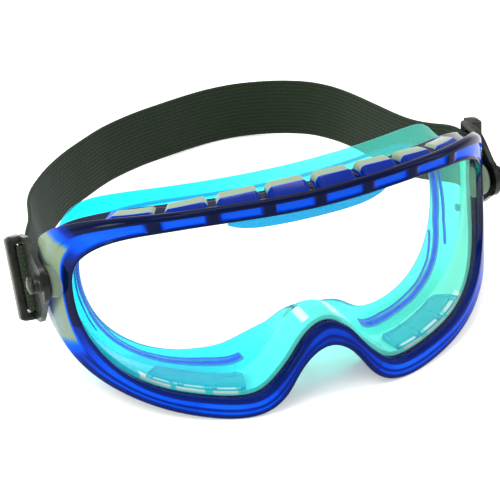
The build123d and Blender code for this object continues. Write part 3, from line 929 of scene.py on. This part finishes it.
def make_pivot(side_name, side):
    boss = turned_part(f"pivot_boss_{side_name}", BOSS, side, PIVOT, "mask")
    # the boss is painted all over with the pale highlight colour
    glow = boss.data.attributes.new("glow", "FLOAT", "POINT")
    glow.data.foreach_set("value", [PAINTED_HIGHLIGHT] * len(boss.data.vertices))
    dress(boss, FRAME_BLUE)
    pin = turned_part(f"pin_{side_name}", PIN, side, PIVOT, "mask")
    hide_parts(f"pivot_pin_{side_name}")
    dress(pin, CLIP_BLACK)
    collar = turned_part(f"collar_{side_name}", COLLAR, side, PIVOT, "mask")
    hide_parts(f"pivot_collar_{side_name}")
    dress(collar, CLIP_BLACK)


def make_stud(side_name, side):
    stud = turned_part(f"seal_stud_{side_name}", STUD, side, STUD_PLACE, "mask", 24)
    if side < 0:
        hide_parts("seal_studs")
    return dress(stud, STUD_BLUE)


def clip_point(side, out, back, up):
    """Upright point of a clip: out from the middle, and back and up from the pin as the clip hangs."""
    c, s = math.cos(CLIP_TILT[side]), math.sin(CLIP_TILT[side])
    return (side * out, PIVOT[0] + back * c + up * s, PIVOT[1] - back * s + up * c)


def plate(name, outline, holes, low, high, side, body):
    """Flat plate in the clip's own plane, from its outline and holes of (back, up) points."""
    bm = bmesh.new()
    for loop in [outline] + holes:
        verts = [bm.verts.new(world(*clip_point(side, low, b, u))) for b, u in loop]
        for i in range(len(verts)):
            bm.edges.new((verts[i], verts[(i + 1) % len(verts)]))
    bmesh.ops.triangle_fill(bm, use_beauty=True, use_dissolve=False, edges=bm.edges[:])
    push = world(*clip_point(side, high, 0, 0)) - world(*clip_point(side, low, 0, 0))
    made = bmesh.ops.extrude_face_region(bm, geom=bm.faces[:])
    moved = [g for g in made["geom"] if isinstance(g, bmesh.types.BMVert)]
    bmesh.ops.translate(bm, verts=moved, vec=push)
    bmesh.ops.recalc_face_normals(bm, faces=bm.faces)
    mesh = bpy.data.meshes.new(name)
    bm.to_mesh(mesh)
    bm.free()
    obj = bpy.data.objects.new(name, mesh)
    bpy.context.scene.collection.objects.link(obj)
    bevel = obj.modifiers.new("edge", "BEVEL")
    bevel.width = PLATE_EDGE * 0.001
    bevel.segments = 3
    bevel.limit_method = "ANGLE"
    bevel.angle_limit = math.radians(40)
    mesh.polygons.foreach_set("use_smooth", [True] * len(mesh.polygons))
    crease(obj, 40)
    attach(obj, body)
    return obj


def arc_points(cx, cy, radius, start, end, steps):
    angles = [math.radians(start + (end - start) * k / steps) for k in range(steps + 1)]
    return [(cx + radius * math.cos(a), cy + radius * math.sin(a)) for a in angles]


def make_clip(side_name, side):
    """Plate that widens from a round hub to a slotted edge, a barrel on the hub and a raised grip bar."""
    body = "headband" if side < 0 else "right_clip"
    corner = CLIP_HALF - CLIP_CORNER
    outline = arc_points(0, 0, CLIP_HUB, 105, 255, 16) + [(4.4, -12.6)]
    outline += arc_points(9.6, -corner, CLIP_CORNER, 235, 270, 3)
    outline += arc_points(19.5, -corner, CLIP_CORNER, 270, 360, 4)
    outline += arc_points(19.5, corner, CLIP_CORNER, 0, 90, 4)
    outline += arc_points(9.6, corner, CLIP_CORNER, 90, 125, 3) + [(4.4, 12.6)]
    corner = SLOT_HALF - SLOT_CORNER
    slot = arc_points(13.0, -corner, SLOT_CORNER, 180, 270, 3)
    slot += arc_points(16.4, -corner, SLOT_CORNER, 270, 360, 3)
    slot += arc_points(16.4, corner, SLOT_CORNER, 0, 90, 3)
    slot += arc_points(13.0, corner, SLOT_CORNER, 90, 180, 3)
    made = plate(f"clip_plate_{side_name}", outline, [slot], CLIP_INNER, CLIP_OUTER, side, body)
    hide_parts(f"outrigger_{side_name}")
    dress(made, CLIP_BLACK)
    barrel = turned_part(f"clip_barrel_{side_name}", BARREL, side, PIVOT, body)
    dress(barrel, CLIP_BLACK)
    rows = []
    steps, tuck_length = 40, 1.2
    for k in range(steps + 1):
        up = -CLIP_HALF + 2 * CLIP_HALF * k / steps
        end = CLIP_HALF - abs(up)
        tuck = 1.0 - math.sqrt(max(0.0, 1 - (1 - min(end, tuck_length) / tuck_length) ** 2))
        inner = 89.0 if abs(up) > SLOT_HALF + 0.2 else 91.6
        lift = BAR_OUTER - tuck * 1.2
        section = rounded([(inner, 16.2, 0.3), (lift, 16.4 + tuck, 1.2), (lift, 21.8 - tuck, 1.2),
                           (inner, 22.0, 0.3)])
        rows.append([clip_point(side, q.x, q.y, up) for q in section])
    grip = skin(f"clip_bar_{side_name}", rows, body)
    crease(grip, 50)
    dress(grip, CLIP_BLACK)


# -------- strap

STRAP_WIDTH, STRAP_THICKNESS, STRAP_EDGE = 24.0, 1.5, 0.7
# Fold round a clip's bar as (out, back) in the clip, then the route from the left clip to the right
# one as (X, Y, Z, lean out in degrees)
FOLDS = [(90.5, 26), (90.45, 22), (90.4, 18.1), (90.1, 15.8), (88.95, 14.8), (87.85, 14.8),
         (86.7, 15.8), (86.35, 18.1), (86.1, 22)]
STRAP_ROUTE = [(-84.6, 76, 12.6, 3), (-81.4, 82.5, 13, 6), (-78.2, 89.5, 13, 8), (-75.8, 97.5, 13, 9),
               (-73.8, 106, 13, 8), (-70.8, 114.5, 13, 6), (-66, 123, 13, 5), (-59, 133, 13, 4),
               (-50, 143, 13, 3), (-41, 151, 13, 2), (-27.5, 161.3, 13, 1), (-12.5, 168.6, 13, 0),
               (2, 173, 13, 0), (15, 176.2, 13, 0), (26, 177.6, 13, 0), (38, 176.6, 13, 0),
               (51.5, 171.5, 13, 0), (62, 163.8, 13, 0), (68, 155, 13, 1), (72, 144.5, 13, 1),
               (74.8, 131.5, 13, 2), (77, 117.5, 13.2, 3), (78.4, 106, 13.8, 4), (79.8, 96, 14.9, 5),
               (81.8, 86, 16.8, 4), (84.6, 76, 19.0, 2)]


def strap_stations():
    """(middle of the webbing, its upward edge direction) from one folded end to the other."""
    def fold(side):
        up = Vector((0, math.sin(CLIP_TILT[side]), math.cos(CLIP_TILT[side])))
        return [(Vector(clip_point(side, out, back, 0)), up) for out, back in FOLDS]

    route = []
    for x, y, z, lean in STRAP_ROUTE:
        a = math.radians(lean)
        route.append((Vector((x, y, z)), Vector((math.copysign(math.sin(a), x), 0, math.cos(a)))))
    return fold(-1) + route + fold(1)[::-1]


def catmull(a, b, c, d, t):
    """Point between b and c on the smooth curve through a, b, c and d."""
    square, cube = 2 * a - 5 * b + 4 * c - d, 3 * b - 3 * c + d - a
    return 0.5 * (2 * b + (c - a) * t + square * t * t + cube * t ** 3)


def make_strap():
    stations = strap_stations()
    last, steps = len(stations) - 1, 7
    line = []
    for i in range(last):
        four = [stations[min(max(i + k, 0), last)] for k in (-1, 0, 1, 2)]
        for t in (step / steps for step in range(steps)):
            line.append((catmull(*[s[0] for s in four], t), catmull(*[s[1] for s in four], t).normalized()))
    line.append(stations[-1])
    w, h = STRAP_WIDTH / 2, STRAP_THICKNESS / 2
    corners = rounded([(a, b, STRAP_EDGE) for a, b in ((-w, -h), (w, -h), (w, h), (-w, h))], 3)
    section = []
    for a, b in zip(corners, corners[1:] + corners[:1]):
        count = 12 if (b - a).length > 5 else 1
        section += [a + (b - a) * k / count for k in range(count)]
    rows, along, across, run = [], [], [], 0.0
    for i, (point, up) in enumerate(line):
        before, after = line[max(i - 1, 0)][0], line[min(i + 1, len(line) - 1)][0]
        run += (point - before).length
        side = (after - before).normalized().cross(up).normalized()
        rows.append([tuple(point + up * q.x + side * q.y) for q in section])
        along += [run] * len(section)
        across += [q.x for q in section]
    obj = skin("strap_web", rows, "headband", attributes={"along": along, "across": across})
    crease(obj, 70)
    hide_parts("strap")
    return dress(obj, STRAP_WEAVE)


make_frame_ring()
make_lens()
make_seal()
make_vent_cover()
for number in range(LOUVRES):
    make_louvre(number + 1, (number - (LOUVRES - 1) / 2) * RIB_PITCH)
make_baffle()
for name, sign in SIDES:
    make_low_vent(name, sign)
    make_pivot(name, sign)
    make_clip(name, sign)
    make_stud(name, sign)
make_strap()


# -------- camera, floor and light

CAMERA_AZIMUTH, CAMERA_HEIGHT, CAMERA_ROLL = (math.radians(v) for v in (-22.17, 27.97, -3.69))
CAMERA_AWAY, CAMERA_LENS, CAMERA_SENSOR = 698.0, 144.3, 36.0
AIM_RIGHT, AIM_UP = -0.0398, 0.03876        # how far off the middle of the front the camera looks


def make_camera():
    """Camera in front, to the left and above, placed about the upright goggles and leaned with them."""
    level = math.cos(CAMERA_HEIGHT)
    back = Vector((math.sin(CAMERA_AZIMUTH) * level, -math.cos(CAMERA_AZIMUTH) * level,
                   math.sin(CAMERA_HEIGHT)))
    right = Vector((math.cos(CAMERA_AZIMUTH), math.sin(CAMERA_AZIMUTH), 0))
    up = back.cross(right)
    c, s = math.cos(CAMERA_ROLL), math.sin(CAMERA_ROLL)
    right, up = right * c + up * s, up * c - right * s
    origin = world(0, 0, 0)

    def leaned(v):
        return (world(*v) - origin).normalized()

    z = -leaned(right * AIM_RIGHT + up * AIM_UP - back)
    x = leaned(right)
    x = (x - z * x.dot(z)).normalized()
    y = z.cross(x)
    camera = bpy.data.objects.new("camera", bpy.data.cameras.new("camera"))
    bpy.context.scene.collection.objects.link(camera)
    rotation = Matrix((x, y, z)).transposed().to_4x4()
    camera.matrix_world = Matrix.Translation(world(*(back * CAMERA_AWAY))) @ rotation
    camera.data.lens = CAMERA_LENS
    camera.data.sensor_width = CAMERA_SENSOR
    camera.data.clip_end = 20
    bpy.context.scene.camera = camera


def make_floor():
    mat, nodes, links = material("floor")
    out = nodes.new("ShaderNodeOutputMaterial")
    body = nodes.new("ShaderNodeBsdfPrincipled")
    body.inputs["Base Color"].default_value = (0.9, 0.9, 0.9, 1)
    body.inputs["Emission Color"].default_value = (1, 1, 1, 1)
    body.inputs["Emission Strength"].default_value = 0.3
    body.inputs["Roughness"].default_value = 0.9
    links.new(body.outputs[0], out.inputs["Surface"])
    mesh = bpy.data.meshes.new("floor")
    mesh.from_pydata([(-4, -4, 0), (4, -4, 0), (4, 4, 0), (-4, 4, 0)], [], [(0, 1, 2, 3)])
    floor = bpy.data.objects.new("floor", mesh)
    bpy.context.scene.collection.objects.link(floor)
    floor.data.materials.append(mat)


def area_light(name, spot, target, size, power, colour=(1, 1, 1)):
    light = bpy.data.lights.new(name, "AREA")
    light.shape = "RECTANGLE"
    light.size, light.size_y = size
    light.energy = power
    light.color = colour
    obj = bpy.data.objects.new(name, light)
    obj.location = spot
    obj.rotation_euler = (Vector(target) - Vector(spot)).to_track_quat("-Z", "Y").to_euler()
    bpy.context.scene.collection.objects.link(obj)


AIM = (0, 0, 0.04)


def make_light():
    """Even white surroundings with soft lamps, one of them slightly green from the left."""
    surroundings = bpy.data.worlds.new("studio")
    surroundings.use_nodes = True
    background = surroundings.node_tree.nodes["Background"]
    background.inputs["Color"].default_value = (1, 1, 1, 1)
    background.inputs["Strength"].default_value = 0.85
    bpy.context.scene.world = surroundings
    area_light("key", (-0.5, -0.35, 1.0), AIM, (0.5, 0.5), 5)
    area_light("top", (0.15, 0.35, 1.1), AIM, (0.6, 0.4), 6)
    area_light("rim", (0.7, -0.2, 0.45), AIM, (0.2, 0.5), 2)
    area_light("side", (-0.8, -0.15, 0.25), (-0.08, -0.03, 0.04), (0.25, 0.3), 4, (0.85, 1.0, 0.65))
    bpy.context.scene.view_settings.view_transform = "Standard"


make_camera()
make_floor()
make_light()
